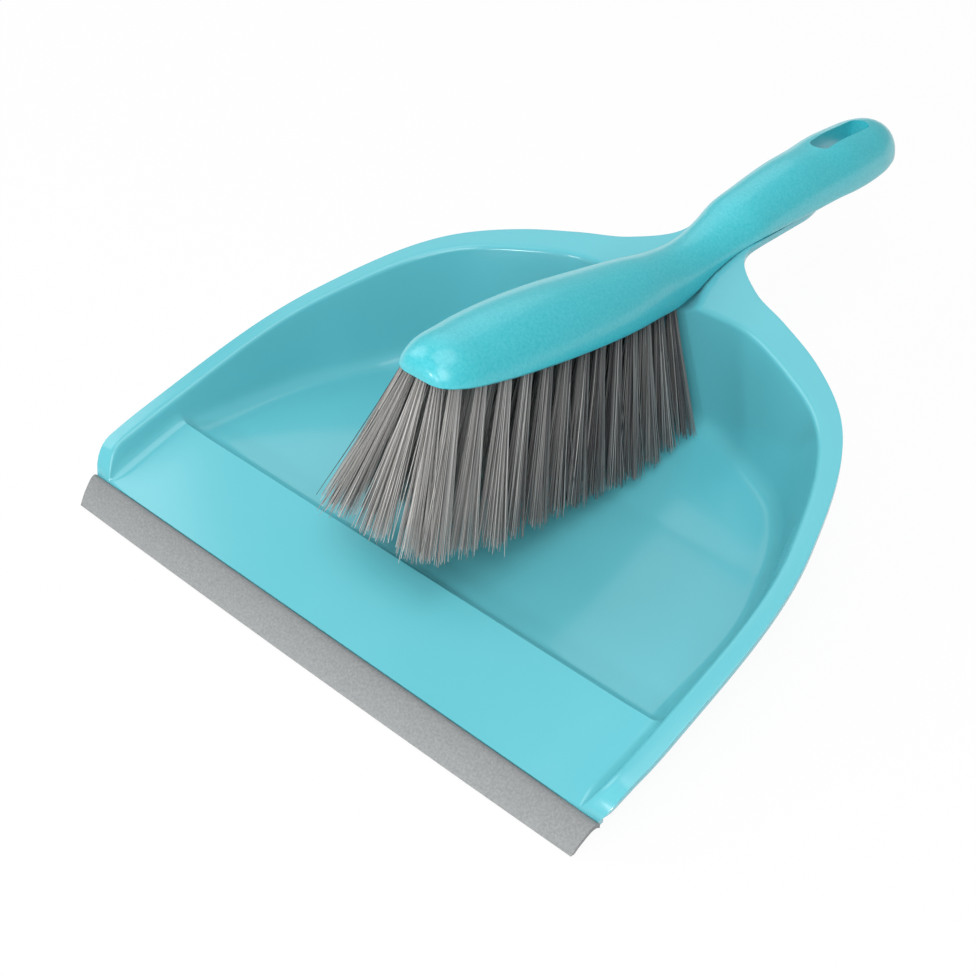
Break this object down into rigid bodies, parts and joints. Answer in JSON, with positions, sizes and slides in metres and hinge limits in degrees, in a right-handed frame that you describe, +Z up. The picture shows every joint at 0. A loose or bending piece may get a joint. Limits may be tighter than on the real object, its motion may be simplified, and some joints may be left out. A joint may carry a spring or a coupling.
{
  "type": "dust pan and brush set",
  "caption": "Shovel-shaped dust pan with a broad rim, rubber lip and flat handle, and a hand brush with tufted bristles that rests over the pan and lifts off.",
  "frame": {"origin": "middle of the flat of the pan's base, on the surface that it stands on", "axes": "+X to the right along the lip, +Y back towards the handles, +Z up"},
  "size_m": [0.2222, 0.3154, 0.0818],
  "materials": {
    "pan_plastic": "glossy turquoise moulding",
    "brush_plastic": "satin turquoise moulding with a fine grain",
    "lip_rubber": "soft grey rubber",
    "bristle": "grey synthetic filament",
    "anchor_wire": "plain flat wire"
  },
  "bodies": {
    "pan": {"dust_pan": "pan_plastic", "rubber_lip": "lip_rubber"},
    "brush": {"brush_body": "brush_plastic", "tuft_anchors": "anchor_wire", "tuft_01": "bristle", "tuft_02": "bristle", "tuft_03": "bristle", "tuft_04": "bristle", "tuft_05": "bristle", "tuft_06": "bristle", "tuft_07": "bristle", "tuft_08": "bristle", "tuft_09": "bristle", "tuft_10": "bristle", "tuft_11": "bristle", "tuft_12": "bristle", "tuft_13": "bristle", "tuft_14": "bristle", "tuft_15": "bristle", "tuft_16": "bristle", "tuft_17": "bristle", "tuft_18": "bristle", "tuft_19": "bristle", "tuft_20": "bristle", "tuft_21": "bristle", "tuft_22": "bristle", "tuft_23": "bristle", "tuft_24": "bristle", "tuft_25": "bristle", "tuft_26": "bristle", "tuft_27": "bristle", "tuft_28": "bristle", "tuft_29": "bristle", "tuft_30": "bristle", "tuft_31": "bristle", "tuft_32": "bristle", "tuft_33": "bristle", "tuft_34": "bristle", "tuft_35": "bristle", "tuft_36": "bristle", "tuft_37": "bristle", "tuft_38": "bristle", "tuft_39": "bristle", "tuft_40": "bristle", "tuft_41": "bristle", "tuft_42": "bristle", "tuft_43": "bristle", "tuft_44": "bristle", "tuft_45": "bristle", "tuft_46": "bristle", "tuft_47": "bristle", "tuft_48": "bristle", "tuft_49": "bristle", "tuft_50": "bristle", "tuft_51": "bristle", "tuft_52": "bristle", "tuft_53": "bristle"}
  },
  "joints": [
    {"name": "brush_lift", "type": "slide", "parent": "pan", "child": "brush", "axis": [0, 0, 1], "range_m": [0, 0.15]}
  ]
}
